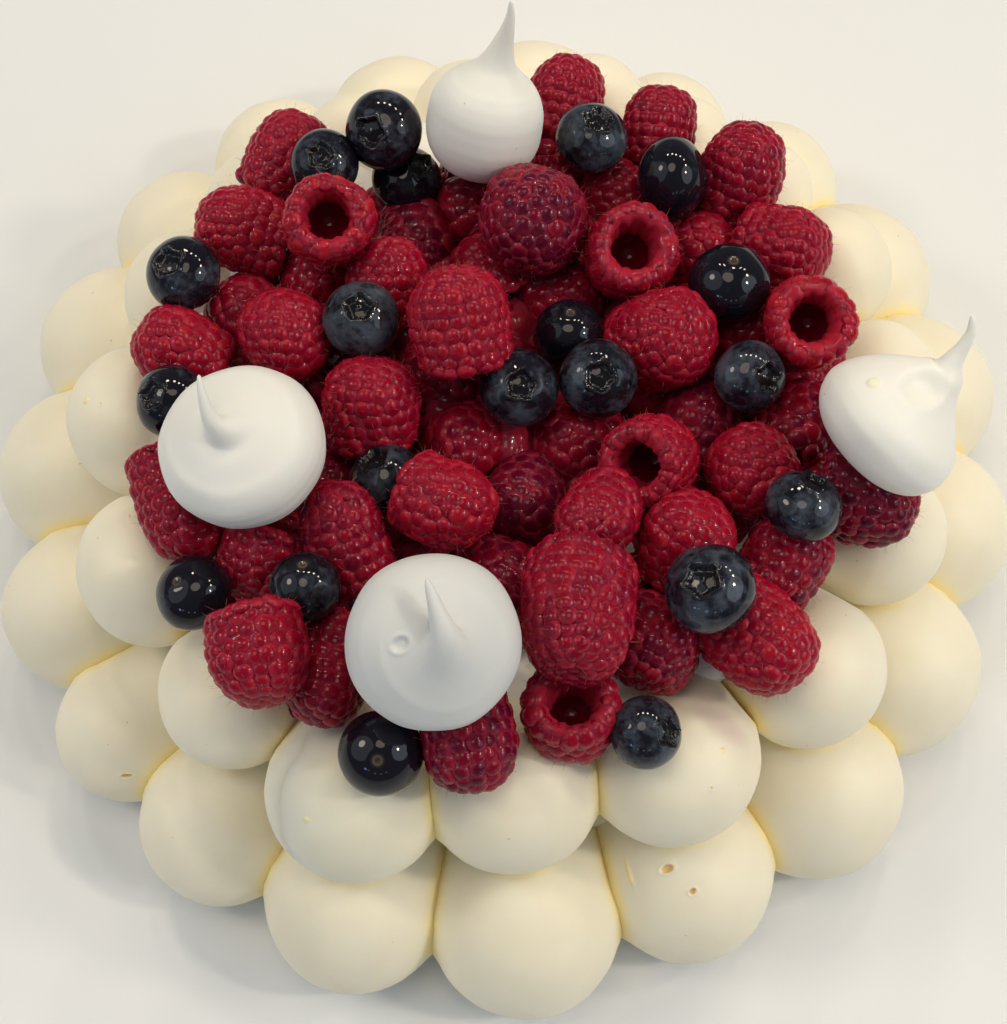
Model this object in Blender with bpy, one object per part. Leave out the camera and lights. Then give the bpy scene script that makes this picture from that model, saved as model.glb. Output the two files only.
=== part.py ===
"""A pavlova: two tiers of piped meringue domes round whipped cream, heaped with
raspberries and blueberries and finished with four little meringue kisses.

Metres, +Z up. The origin is the middle of the flat underside, on the table.
A bearing is in degrees from the front (-Y), anticlockwise seen from above, so 90 is +X.
A berry or a kiss is made upright round its own middle, leaned over towards a bearing, put
at its place, and lifted from there only as far as it takes to lie on what is below it.
"""

import math
from collections import namedtuple

import bmesh
import bpy
from mathutils import Matrix, Vector
from mathutils.bvhtree import BVHTree

MM = 0.001
GAP = 0.3 * MM

# The domes of a tier in turn: width in degrees, reach of the outside and radius in mm.
LOWER_DOMES = (
    (19, 114, 18), (19, 114, 18), (20, 112, 19), (21, 111, 19), (20, 112, 19),
    (20, 113, 19), (18, 115, 17), (16, 115, 16), (22, 116, 20), (18, 115, 18),
    (18, 115, 17), (18, 114, 17), (20, 113, 19), (20, 113, 19), (19, 114, 18),
    (15, 114, 15), (18, 115, 17), (19, 118, 18), (20, 118, 19),
)
UPPER_DOMES = (
    (21, 96, 16), (23, 97, 16), (23, 96, 15), (24, 93, 14), (25, 91, 14), (20, 91, 14),
    (16, 90, 12), (15, 89, 12), (19, 92, 14), (21, 89, 13), (20, 87, 13), (20, 87, 13),
    (22, 88, 14), (26, 91, 15), (24, 94, 15), (21, 95, 14), (20, 99, 14),
)

# A tier: the bearing where its first dome starts, the heights of its floor and of the
# widest part of its domes, how steeply the foot tucks in, where the tails end, how high
# they are there, and how much of the creases is left there.
Tier = namedtuple("Tier", "start floor waist foot_angle inner_reach inner_height inner_crease")
LOWER_TIER = Tier(12, 0.0, 13.4 * MM, 45, 60 * MM, 29 * MM, 0.0)
UPPER_TIER = Tier(-10, 26 * MM, 41 * MM, 78, 63 * MM, 49.5 * MM, 0.5)
SLICES_PER_DOME = 5
FOOT_ROWS = 2
CROWN_ROWS = 3
TAIL_ROWS = 2
CREASE = 0.42                 # how far a crease still stands out, in dome radii
SOCKET_DEPTH = 9 * MM         # how far the upper tier is sunk into the lower one

CREAM_TOP = 48 * MM
CREAM_EDGE = 3 * MM
CREAM_SIDES = 24

# The berries that are buried under the others are one heap on the cream. Each place is
# right of and behind the middle, with the top of its berry above the cream, in mm.
HEAP_REACH = 58 * MM
HEAP_EDGE = 1 * MM
HEAP_CREST = 7 * MM
HEAP_SIDES = 32
HEAP_RINGS = 10
BURIED_RADIUS = 8 * MM
BURIED_PLACES = (
    (-53, 14, 15), (-8, -15, 15), (3, -28, 15), (13, -15, 15), (58, -10, 15), (-19, 31, 14),
    (-8, 40, 14), (23, 43, 15), (40, 29, 15), (-4, 24, 15), (12, 18, 15), (-33, -23, 10),
    (-1, -44, 15), (-25, -43, 8), (-14, 0, 15), (37, -11, 15), (-38, 22, 15), (48, 10, 15),
)

# A berry: how far its middle is to the right, behind and up, its width and length in mm,
# its lean from upright and the bearing that it leans towards. The lowest berries come
# first. A raspberry's tip and a blueberry's crown point up before it leans.
Berry = namedtuple("Berry", "right back up width length lean bearing")
RASPBERRIES = (
    Berry(52, -40, 58, 17, 17, 80, 150),
    Berry(-46, -41, 58, 17, 17, 120, 330),
    Berry(26, -57, 58, 18, 19, 80, 60),
    Berry(-32, -63, 59, 16, 20, 80, 350),
    Berry(-46, 50, 60, 17, 20, 70, 150),
    Berry(11, -71, 60, 18, 15, 175, 0),
    Berry(-65, 3, 60, 17, 18, 60, 250),
    Berry(-61, -31, 60, 17, 22, 95, 20),
    Berry(48, 44, 61, 19, 22, 40, 150),
    Berry(12, 64, 61, 17, 19, 60, 160),
    Berry(32, 57, 61, 16, 17, 60, 170),
    Berry(56, 26, 61, 18, 19, 70, 60),
    Berry(67, -30, 61, 18, 20, 90, 60),
    Berry(45, -58, 62, 19, 21, 80, 40),
    Berry(46, -24, 62, 18, 18, 20, 0),
    Berry(-54, 30, 62, 18, 19, 70, 260),
    Berry(33, -39, 63, 18, 18, 40, 150),
    Berry(-7, -77, 63, 17, 18, 100, 10),
    Berry(27, -23, 63, 18, 20, 140, 140),
    Berry(-24, 16, 63, 17, 18, 50, 180),
    Berry(-43, 4, 63, 18, 20, 50, 30),
    Berry(-30, -38, 64, 16, 20, 50, 200),
    Berry(-26, -11, 64, 19, 18, 40, 180),
    Berry(30, 2, 66, 20, 20, 30, 60),
    Berry(58, 5, 67, 18, 18, 160, 30),
    Berry(24, 21, 67, 19, 18, 165, 330),
    Berry(16, -37, 68, 17, 19, 60, 330),
    Berry(-11, -34, 68, 19, 20, 80, 60),
    Berry(-43, -64, 71, 18, 18, 100, 10),
    Berry(5, 26, 71, 22, 22, 30, 0),
    Berry(-35, 24, 71, 18, 17, 170, 0),
    Berry(12, -57, 72, 21, 24, 80, 355),
    Berry(-9, 1, 72, 20, 20, 50, 190),
)
BLUEBERRIES = (
    Berry(-21, 44, 58, 15, 13, 30, 90),
    Berry(-23, -26, 62, 14, 12, 25, 230),
    Berry(24, -75, 62, 13, 12, 40, 70),
    Berry(-57, -49, 62, 14, 12, 160, 90),
    Berry(-22, -79, 63, 15, 14, 155, 180),
    Berry(12, 5, 63, 14, 13, 170, 0),
    Berry(-64, 17, 64, 15, 13, 20, 300),
    Berry(-64, -11, 65, 14, 12, 30, 300),
    Berry(46, -7, 67, 14, 12, 40, 45),
    Berry(33, 39, 67, 17, 14, 90, 90),
    Berry(2, -10, 68, 15, 14, 25, 10),
    Berry(-36, -50, 68, 13, 12, 160, 0),
    Berry(17, -8, 68, 15, 13, 25, 0),
    Berry(17, 48, 68, 15, 13, 10, 90),
    Berry(-37, 41, 69, 14, 12, 20, 0),
    Berry(43, 13, 69, 16, 14, 175, 0),
    Berry(-28, 4, 69, 15, 13, 10, 0),
    Berry(-25, 47, 71, 16, 14, 45, 330),
    Berry(53, -36, 71, 14, 12, 30, 150),
    Berry(35, -53, 74, 16, 14, 20, 290),
)
PRESSED = 0.95                # a berry in the heap is squeezed narrower than it is alone
RASPBERRY_SIDES = 8
BLUEBERRY_SIDES = 8
BERRY_ROWS = 6

# A kiss: its place, its width, the height of its body and of the whole with its tip, how
# far the tip is bent and towards which bearing, then its lean and the bearing of that.
Kiss = namedtuple("Kiss", "name right back up width body height bend bend_bearing lean bearing")
KISSES = (
    Kiss("kiss_back", -5, 48, 74, 24, 22, 38, 3, 130, 12, 140),
    Kiss("kiss_left", -48, -27, 76, 31, 19, 29, 3, 220, 12, 225),
    Kiss("kiss_front", -12, -64, 77, 31, 18, 29, 4, 200, 8, 190),
    Kiss("kiss_right", 70, -25, 78, 25, 20, 36, 6, 120, 40, 130),
)
KISS_SIDES = 12

LIFT_STEP = 1 * MM
HALVINGS = 6


def clear_scene():
    for obj in list(bpy.data.objects):
        bpy.data.objects.remove(obj, do_unlink=True)


def material(name, colour, roughness):
    """A food's finish: nothing here is metal, so only colour and roughness differ."""
    made = bpy.data.materials.new(name)
    made.use_nodes = True
    shader = made.node_tree.nodes["Principled BSDF"]
    shader.inputs["Base Color"].default_value = (*colour, 1)
    shader.inputs["Roughness"].default_value = roughness
    shader.inputs["Metallic"].default_value = 0
    return made


def add_object(name, bm, finish):
    """Link a bmesh as a smooth-shaded object with one material."""
    bmesh.ops.recalc_face_normals(bm, faces=bm.faces)
    mesh = bpy.data.meshes.new(name)
    bm.to_mesh(mesh)
    bm.free()
    mesh.shade_smooth()
    mesh.materials.append(finish)
    obj = bpy.data.objects.new(name, mesh)
    bpy.context.scene.collection.objects.link(obj)
    return obj


def on_plan(reach, bearing):
    """The x and y of a point at a reach from the middle on a bearing in degrees."""
    angle = math.radians(bearing)
    return reach * math.sin(angle), -reach * math.cos(angle)


# ---------------------------------------------------------------- the meringue

def slice_outline(tier, dome, offset):
    """The upright slice of a dome, offset degrees from its middle, as (reach, height)
    points from the foot, over the crown and down the tail."""
    width, outside, radius = dome
    outside *= MM
    radius *= MM
    centre = outside - radius
    turn = math.radians(offset)
    aside = centre * math.sin(turn) / radius
    out = radius * math.sqrt(max(1 - aside ** 2, CREASE ** 2))
    middle = centre * math.cos(turn)
    foot = math.radians(tier.foot_angle)
    points = []
    for row in range(FOOT_ROWS):
        angle = -foot * (1 - row / FOOT_ROWS)
        drop = (tier.waist - tier.floor) * math.sin(angle) / math.sin(foot)
        points.append((middle + out * math.cos(angle), tier.waist + drop))
    for row in range(CROWN_ROWS + 1):
        angle = math.pi / 2 * row / CROWN_ROWS
        points.append((middle + out * math.cos(angle), tier.waist + out * math.sin(angle)))
    top = tier.waist + out
    inner = tier.inner_height - tier.inner_crease * (radius - out)
    for row in range(1, TAIL_ROWS + 1):
        share = row / TAIL_ROWS
        ease = share ** 2 * (3 - 2 * share)
        reach = middle + (tier.inner_reach - middle) * share
        points.append((reach, top + (inner - top) * ease))
    return points


def between(first, second):
    """The outline halfway between two outlines, for the crease between two domes."""
    return [((a + c) / 2, (b + d) / 2) for (a, b), (c, d) in zip(first, second)]


def tier_outlines(tier, domes):
    """Yield the bearing and the outline of every slice round a tier."""
    bearing = tier.start
    for index, dome in enumerate(domes):
        before = domes[index - 1]
        width = dome[0]
        for step in range(SLICES_PER_DOME):
            offset = width * (step / SLICES_PER_DOME - 0.5)
            outline = slice_outline(tier, dome, offset)
            if step == 0:
                outline = between(outline, slice_outline(tier, before, before[0] / 2))
            yield bearing + width * step / SLICES_PER_DOME, outline
        bearing += width


def slices_to_bmesh(slices, closed):
    """Join the slices all the way round, each to the next with a strip of quads. A
    closed slice is a loop, and an open one leaves a round hole at each end to cap."""
    bm = bmesh.new()
    columns = [
        [bm.verts.new((*on_plan(reach, bearing), height)) for reach, height in outline]
        for bearing, outline in slices
    ]
    for left, right in zip(columns, columns[1:] + columns[:1]):
        rows = len(left) if closed else len(left) - 1
        for row in range(rows):
            above = (row + 1) % len(left)
            bm.faces.new((left[row], right[row], right[above], left[above]))
    if not closed:
        bm.faces.new([column[0] for column in reversed(columns)])
        bm.faces.new([column[-1] for column in columns])
    return bm


def make_meringue(finish):
    """The lower tier is a whole disc. The upper tier is a ring sunk a little into it."""
    lower = add_object("meringue", slices_to_bmesh(tier_outlines(LOWER_TIER, LOWER_DOMES), False),
                       finish)
    sunk = UPPER_TIER.floor - SOCKET_DEPTH
    ring = []
    for bearing, outline in tier_outlines(UPPER_TIER, UPPER_DOMES):
        under = (outline[0][0] + UPPER_TIER.inner_reach) / 2
        ring.append((bearing, outline + [(UPPER_TIER.inner_reach, sunk), (under, sunk)]))
    upper = add_object("upper_tier", slices_to_bmesh(ring, True), finish)
    upper.hide_render = True
    upper.display_type = "WIRE"
    union = lower.modifiers.new("Upper tier", "BOOLEAN")
    union.operation = "UNION"
    union.solver = "EXACT"
    union.object = upper
    return lower


# ------------------------------------------------------- the cream and the heap

def turned(profile, sides):
    """Spin a profile of (radius, height) points, which starts and ends on the axis."""
    bm = bmesh.new()
    line = [bm.verts.new((radius, 0, height)) for radius, height in profile]
    edges = [bm.edges.new(pair) for pair in zip(line, line[1:])]
    bmesh.ops.spin(bm, geom=line + edges, axis=(0, 0, 1), cent=(0, 0, 0),
                   angle=math.tau, steps=sides, use_merge=True)
    bmesh.ops.remove_doubles(bm, verts=bm.verts, dist=0.01 * MM)
    return bm


def make_cream(finish):
    """Whipped cream fills the ring of the upper tier, level, with a rounded edge."""
    reach = UPPER_TIER.inner_reach - GAP
    floor = LOWER_TIER.inner_height + GAP
    profile = [
        (0, floor),
        (reach, floor),
        (reach, CREAM_TOP - CREAM_EDGE),
        (reach - CREAM_EDGE, CREAM_TOP),
        (0, CREAM_TOP),
    ]
    return add_object("cream", turned(profile, CREAM_SIDES), finish)


def heap_height(right, back):
    """The top of the heap over a place: a low mound, or the buried berry that is there."""
    share = min(math.hypot(right, back) / HEAP_REACH, 1)
    height = HEAP_EDGE + HEAP_CREST * (1 - share ** 2)
    for place in BURIED_PLACES:
        aside = math.hypot(right - place[0] * MM, back - place[1] * MM) / BURIED_RADIUS
        if aside < 1:
            lump = place[2] * MM - BURIED_RADIUS * (1 - math.sqrt(1 - aside ** 2))
            height = max(height, lump)
    return CREAM_TOP + GAP + height


def make_heap(finish):
    """The buried berries, as one solid out to their uneven top, in flat triangles."""
    floor = CREAM_TOP + GAP
    slices = []
    for side in range(HEAP_SIDES):
        bearing = 360 * side / HEAP_SIDES
        outline = [(HEAP_REACH, floor)]
        for ring in range(HEAP_RINGS, 0, -1):
            reach = HEAP_REACH * ring / HEAP_RINGS
            outline.append((reach, heap_height(*on_plan(reach, bearing))))
        slices.append((bearing, outline))
    bm = slices_to_bmesh(slices, False)
    bmesh.ops.triangulate(bm, faces=bm.faces)
    return add_object("berry_heap", bm, finish)


# --------------------------------------------------------- berries and kisses

def sphere_place(vert, sides):
    """Where a vertex of a UV sphere of radius 1 is: its ring from the top, counted
    from 0 at the pole, and its step round the axis."""
    ring = round(math.acos(max(-1, min(1, vert.co.z))) / math.pi * BERRY_ROWS)
    step = round(math.atan2(vert.co.y, vert.co.x) / math.tau * sides) % sides
    return ring, step


def scale_to(bm, berry):
    """Bring a berry made 2 across and 2 long to its own size, pressed in the heap."""
    half = berry.width / 2 * MM * PRESSED
    bmesh.ops.scale(bm, verts=bm.verts, vec=(half, half, berry.length / 2 * MM * PRESSED))


def raspberry_bmesh(berry):
    """A blunt thimble with a hollow from below, its lumps staggered ring by ring."""
    bm = bmesh.new()
    bmesh.ops.create_uvsphere(bm, u_segments=RASPBERRY_SIDES, v_segments=BERRY_ROWS, radius=1)
    for vert in bm.verts:
        ring, step = sphere_place(vert, RASPBERRY_SIDES)
        if ring == BERRY_ROWS:
            vert.co = (0, 0, 0.25)
        elif ring:
            around = math.hypot(vert.co.x, vert.co.y)
            fuller = around ** -0.35 * (1.0 if (ring + step) % 2 else 0.92)
            vert.co.x *= fuller
            vert.co.y *= fuller
    scale_to(bm, berry)
    return bm


def blueberry_bmesh(berry):
    """A squat ball with a raised crown round a dimple."""
    bm = bmesh.new()
    bmesh.ops.create_uvsphere(bm, u_segments=BLUEBERRY_SIDES, v_segments=BERRY_ROWS, radius=1)
    for vert in bm.verts:
        ring, _ = sphere_place(vert, BLUEBERRY_SIDES)
        if ring == 0:
            vert.co.z = 0.78
        if ring == 1:
            vert.co = (0.8 * vert.co.x, 0.8 * vert.co.y, 1.0)
    scale_to(bm, berry)
    return bm


def kiss_bmesh(kiss):
    """A flat-bottomed drop whose tip is drawn out and bent over. Its middle is half the
    height of the body above its foot."""
    radius = kiss.width / 2 * MM
    body = kiss.body * MM
    tip = (kiss.height - kiss.body) * MM
    profile = [
        (0, 0), (0.72 * radius, 0), (0.94 * radius, 0.14 * body), (radius, 0.34 * body),
        (0.91 * radius, 0.58 * body), (0.66 * radius, 0.8 * body), (0.34 * radius, 0.97 * body),
        (0.15 * radius, body + 0.2 * tip), (0.07 * radius, body + 0.6 * tip), (0, body + tip),
    ]
    bm = turned(profile, KISS_SIDES)
    for vert in bm.verts:
        above = max(vert.co.z - 0.8 * body, 0) / (0.2 * body + tip)
        aside = on_plan(kiss.bend * MM * above ** 2, kiss.bend_bearing)
        vert.co += Vector((*aside, -body / 2))
    return bm


def lean_over(bm, lean, bearing):
    """Turn a bmesh about its middle so that its top leans towards a bearing."""
    towards = Vector((*on_plan(1, bearing), 0))
    axis = Vector((0, 0, 1)).cross(towards)
    bmesh.ops.rotate(bm, verts=bm.verts, cent=(0, 0, 0),
                     matrix=Matrix.Rotation(math.radians(lean), 3, axis))


class Pile:
    """What already lies there, and how high the next piece must be lifted to clear it."""

    def __init__(self, objects):
        self.trees = []
        for obj in objects:
            self.add(obj)

    def add(self, obj):
        graph = bpy.context.evaluated_depsgraph_get()
        mesh = obj.evaluated_get(graph).to_mesh()
        mesh.calc_loop_triangles()
        points = [obj.matrix_world @ vert.co for vert in mesh.vertices]
        faces = [tuple(face.vertices) for face in mesh.loop_triangles]
        self.trees.append(BVHTree.FromPolygons(points, faces))
        obj.evaluated_get(graph).to_mesh_clear()

    def free_height(self, bm, right, back, up):
        """The first height from up upwards where the bmesh, grown by the gap, is free."""
        grown = [vert.co * (1 + GAP / vert.co.length) for vert in bm.verts]
        faces = [[vert.index for vert in face.verts] for face in bm.faces]

        def is_free(height):
            place = Vector((right, back, height))
            tree = BVHTree.FromPolygons([point + place for point in grown], faces)
            return not any(tree.overlap(other) for other in self.trees)

        if is_free(up):
            return up
        free = up + LIFT_STEP
        while not is_free(free):
            free += LIFT_STEP
        held = free - LIFT_STEP
        for _ in range(HALVINGS):
            height = (free + held) / 2
            if is_free(height):
                free = height
            else:
                held = height
        return free

    def lay(self, name, shape, finish, piece):
        """Make a piece, lean it over and leave it at its place on the pile."""
        bm = shape(piece)
        lean_over(bm, piece.lean, piece.bearing)
        bm.verts.index_update()
        right = piece.right * MM
        back = piece.back * MM
        height = self.free_height(bm, right, back, piece.up * MM)
        obj = add_object(name, bm, finish)
        obj.location = (right, back, height)
        bpy.context.view_layer.update()
        self.add(obj)


def main():
    clear_scene()
    meringue = make_meringue(material("meringue", (0.86, 0.78, 0.62), 0.6))
    cream = make_cream(material("cream", (0.9, 0.88, 0.8), 0.5))
    heap = make_heap(material("berry_heap", (0.2, 0.01, 0.02), 0.5))
    bpy.context.view_layer.update()
    pile = Pile((meringue, cream, heap))
    red = material("raspberry", (0.5, 0.02, 0.04), 0.4)
    blue = material("blueberry", (0.02, 0.03, 0.06), 0.3)
    white = material("kiss_meringue", (0.87, 0.84, 0.78), 0.6)
    to_lay = []
    for number, berry in enumerate(RASPBERRIES, start=1):
        to_lay.append((f"raspberry_{number:02}", raspberry_bmesh, red, berry))
    for number, berry in enumerate(BLUEBERRIES, start=1):
        to_lay.append((f"blueberry_{number:02}", blueberry_bmesh, blue, berry))
    for kiss in KISSES:
        to_lay.append((kiss.name, kiss_bmesh, white, kiss))
    for name, shape, finish, piece in sorted(to_lay, key=lambda laid: laid[3].up):
        pile.lay(name, shape, finish, piece)


if __name__ == "__main__":
    main()
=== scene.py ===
# %% [markdown]
# # A pavlova with raspberries and blueberries
# A pavlova is a meringue that is crisp outside and soft inside. This one is piped as two
# rings of fat drops, is filled with whipped cream, and carries a heap of berries and four
# little meringues, called kisses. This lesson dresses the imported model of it, which
# already says where everything is and how large. Each cell makes one thing the way a cook
# would, out of a simple shape whose vertices are then moved.
#
# Everything is in metres with +Z up, and the front of the cake faces -Y. A bearing is in
# degrees from the front, anticlockwise seen from above, so 90 is +X.

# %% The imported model
import math
import random
from collections import namedtuple

import bmesh
import bpy
from mathutils import Matrix, Vector, noise
from mathutils.bvhtree import BVHTree


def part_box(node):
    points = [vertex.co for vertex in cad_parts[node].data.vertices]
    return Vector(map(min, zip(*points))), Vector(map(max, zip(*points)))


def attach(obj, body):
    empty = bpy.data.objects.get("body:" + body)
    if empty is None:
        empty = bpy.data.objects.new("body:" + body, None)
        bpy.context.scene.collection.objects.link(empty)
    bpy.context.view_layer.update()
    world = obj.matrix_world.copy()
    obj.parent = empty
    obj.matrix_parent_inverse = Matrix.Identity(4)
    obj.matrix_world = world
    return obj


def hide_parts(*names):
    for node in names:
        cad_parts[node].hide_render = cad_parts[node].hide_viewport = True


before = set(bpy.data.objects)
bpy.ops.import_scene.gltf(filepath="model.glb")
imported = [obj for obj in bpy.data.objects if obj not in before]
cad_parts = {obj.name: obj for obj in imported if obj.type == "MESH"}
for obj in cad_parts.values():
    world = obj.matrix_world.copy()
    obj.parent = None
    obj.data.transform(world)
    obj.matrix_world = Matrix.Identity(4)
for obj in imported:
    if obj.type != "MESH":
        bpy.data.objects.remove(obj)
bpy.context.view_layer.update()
MM = 0.001
dice = random.Random(5)
print("the packed model has", len(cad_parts), "nodes")


# %% [markdown]
# ## A few words of arithmetic
# Every shape below is built from these. `on_plan` turns a reach and a bearing into a
# place, `ease` is a soft step from 0 to 1, `bell` is a soft bump, and `curve_through` is a
# smooth line through a few named points.

# %% Arithmetic
UP = Vector((0, 0, 1))


def on_plan(reach, bearing):
    angle = math.radians(bearing)
    return Vector((reach * math.sin(angle), -reach * math.cos(angle), 0))


def ray_at(angle):
    return Vector((math.cos(angle), math.sin(angle), 0))


def leaning(lean, bearing):
    """The turn that leans a piece over towards a bearing."""
    return Matrix.Rotation(math.radians(lean), 3, UP.cross(on_plan(1, bearing)))


def bearing_of(place):
    return math.degrees(math.atan2(place.x, -place.y))


def ease(share):
    share = min(max(share, 0), 1)
    return share * share * (3 - 2 * share)


def bell(distance, width):
    return math.exp(-(distance / width) ** 2)


def curve_through(points, share):
    """The place at a share from 0 to 1 along a Catmull-Rom curve through the points."""
    spot = min(max(share, 0), 1) * (len(points) - 1)
    index = min(int(spot), len(points) - 2)
    t = spot - index
    a, b, c, d = (points[min(max(index + step, 0), len(points) - 1)] for step in (-1, 0, 1, 2))
    return 0.5 * (2 * b + (c - a) * t + (2 * a - 5 * b + 4 * c - d) * t * t
                  + (3 * b - a - 3 * c + d) * t ** 3)


# %% [markdown]
# ## The camera
# The cake is seen from the front and well above, from close by, as when somebody leans
# over the table to cut it.

# %% Camera
def add_object(name, data):
    """Put a mesh, a lamp or a camera into the scene."""
    made = bpy.data.objects.new(name, data)
    bpy.context.scene.collection.objects.link(made)
    return made


def aim(thing, place):
    """Put a lamp or the camera in its place, turned to the cake."""
    thing.location = place
    thing.rotation_euler = (-place).to_track_quat("-Z", "Y").to_euler()


EYE = Vector((0, -0.1521, 0.3263))
camera = add_object("camera", bpy.data.cameras.new("camera"))
bpy.context.scene.camera = camera
aim(camera, EYE)
camera.data.sensor_width = 36
camera.data.lens = 54.84
camera.data.shift_x = -0.0044
camera.data.shift_y = -0.0186
camera.data.clip_start = 0.01
print("the camera stands", round(EYE.length, 2), "m from the cake")


# %% [markdown]
# ## The table and the light
# The light is that of a room with a row of small warm lamps in the ceiling behind the
# cake, large soft ones on both sides, and a little cool light low in front. The small
# lamps show as rows of little white spots in every wet berry. The cool light makes the
# sides that face it bluer and dimmer than the tops.

# %% Table and light
Lamp = namedtuple("Lamp", "bearing height distance size watts colour")
WARM = (1.0, 0.87, 0.68)
COOL = (0.78, 0.88, 1.0)
LAMPS = [Lamp(*row) for row in (
    (205, 50, 1.2, 0.1, 1.0, WARM), (185, 54, 1.2, 0.1, 1.0, WARM),
    (165, 56, 1.2, 0.1, 1.1, WARM), (143, 54, 1.2, 0.1, 0.8, WARM),
    (122, 50, 1.2, 0.1, 0.7, WARM), (100, 48, 1.2, 0.1, 1.4, WARM),
    (76, 45, 1.2, 0.1, 2.6, WARM), (264, 45, 1.2, 0.3, 2.1, WARM),
    (300, 84, 0.7, 0.3, 0.7, WARM), (330, 24, 1.2, 0.1, 0.05, COOL),
    (345, 21, 1.2, 0.1, 0.06, COOL), (0, 20, 1.2, 0.1, 0.06, COOL),
    (15, 21, 1.2, 0.1, 0.05, COOL), (322, 22, 1.2, 0.12, 0.36, (0.22, 0.5, 1.0)),
    (74, 38, 1.2, 0.9, 3.6, COOL), (276, 42, 1.2, 1.2, 2.8, COOL),
)]


def hang(number, lamp):
    """A round lamp that points at the cake."""
    light = bpy.data.lights.new(f"lamp_{number:02}", "AREA")
    light.shape = "DISK"
    light.size = lamp.size
    light.energy = lamp.watts
    light.color = lamp.colour
    height = math.radians(lamp.height)
    out = on_plan(lamp.distance * math.cos(height), lamp.bearing)
    aim(add_object(light.name, light), out + UP * lamp.distance * math.sin(height))


for number, lamp in enumerate(LAMPS, start=1):
    hang(number, lamp)

world = bpy.data.worlds.new("room")
bpy.context.scene.world = world
world.use_nodes = True
background = world.node_tree.nodes["Background"]
background.inputs["Color"].default_value = (0.76, 0.88, 1.0, 1)
background.inputs["Strength"].default_value = 0.18
bpy.context.scene.view_settings.view_transform = "Standard"

TABLE_HALF = 2.5
TABLE_GAP = 0.2 * MM
table = bmesh.new()
bmesh.ops.create_grid(table, x_segments=1, y_segments=1, size=TABLE_HALF)
bmesh.ops.translate(table, verts=table.verts, vec=-UP * TABLE_GAP)
table_mesh = bpy.data.meshes.new("table")
table.to_mesh(table_mesh)
table.free()
add_object("table", table_mesh)
print(len(LAMPS), "lamps hang over the table")


# %% [markdown]
# ## Two tools for finishes
# A finish is a tree of nodes. `Wire` is a number that flows in it, so that ordinary
# arithmetic writes the Math nodes. `Finish` is one food's whole tree round its shader, and
# its `node` makes whatever else is needed.

# %% Wire and Finish
class Wire:
    """A number that flows out of a node. Arithmetic with it adds Math nodes."""

    def __init__(self, finish, socket):
        self.finish = finish
        self.socket = socket

    def math(self, operation, first, second):
        return self.finish.node("ShaderNodeMath", {"operation": operation}, {0: first, 1: second})

    def __add__(self, other):
        return self.math("ADD", self, other)

    __radd__ = __add__

    def __sub__(self, other):
        return self.math("SUBTRACT", self, other)

    def __rsub__(self, other):
        return self.math("SUBTRACT", other, self)

    def __mul__(self, other):
        return self.math("MULTIPLY", self, other)

    __rmul__ = __mul__

    def step(self, low, high):
        """A soft step: 0 below low, 1 above high."""
        return self.finish.node("ShaderNodeMapRange", {"interpolation_type": "SMOOTHSTEP"},
                                {"Value": self, "From Min": low, "From Max": high})


class Finish:
    """The node tree of one food, round its shader."""

    def __init__(self, name, **even):
        self.material = bpy.data.materials.new(name)
        self.material.use_nodes = True
        self.tree = self.material.node_tree
        self.shader = self.tree.nodes["Principled BSDF"]
        for socket, value in even.items():
            self.shader.inputs[socket.replace("_", " ")].default_value = value
        self.place = self.node("ShaderNodeTexCoord", output="Object")

    def node(self, kind, settings=None, sockets=None, output=0):
        """Any node: its settings first, then what goes into its sockets."""
        made = self.tree.nodes.new(kind)
        for setting, value in (settings or {}).items():
            setattr(made, setting, value)
        for socket, value in (sockets or {}).items():
            self.plug(value, made.inputs[socket])
        return Wire(self, made.outputs[output])

    def plug(self, value, socket):
        if isinstance(value, Wire):
            self.tree.links.new(value.socket, socket)
        elif isinstance(value, tuple) and len(value) == 3 and socket.type == "RGBA":
            socket.default_value = (*value, 1)
        else:
            socket.default_value = value

    def set(self, socket, value):
        self.plug(value, self.shader.inputs[socket])

    def mark(self, name):
        """A number that was written on the vertices."""
        return self.node("ShaderNodeAttribute", {"attribute_name": name}, output="Fac")

    def cloud(self, size, detail=2):
        """Soft noise with lumps of about a size."""
        return self.node("ShaderNodeTexNoise", None,
                         {"Vector": self.place, "Scale": 1 / size, "Detail": detail})

    def blend(self, share, first, second):
        """Two colours mixed by a share."""
        return self.node("ShaderNodeMix", {"data_type": "RGBA"},
                         {0: share, 6: first, 7: second}, output=2)

    def bump(self, height, distance, strength=1):
        self.set("Normal", self.node("ShaderNodeBump", None, {
            "Height": height, "Distance": distance, "Strength": strength}, output="Normal"))


# %% [markdown]
# ## Meringue
# Egg white and sugar dry to a smooth, satin, ivory skin. It lets a little light in, and where two
# drops meet, the light that shines through and bounces between them is painted on as a yellow glow.
# A few grains of sugar and vanilla show as dark specks, and where a bubble has burst the golden
# inside shows. The kisses are piped from a whiter mix, and some of them are greyed with painted
# shade.

# %% Meringue finishes
# The grey of painted shade on the kisses that stand in shade.
SHADE_GREY = (0.63, 0.635, 0.62)
BUBBLE_GOLD = (0.88, 0.64, 0.27)
# The pinkish-brown of a patch painted on one front drop.
PINK_BROWN = (0.70, 0.52, 0.47)
SPECK_BROWN = (0.3, 0.26, 0.17)


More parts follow.
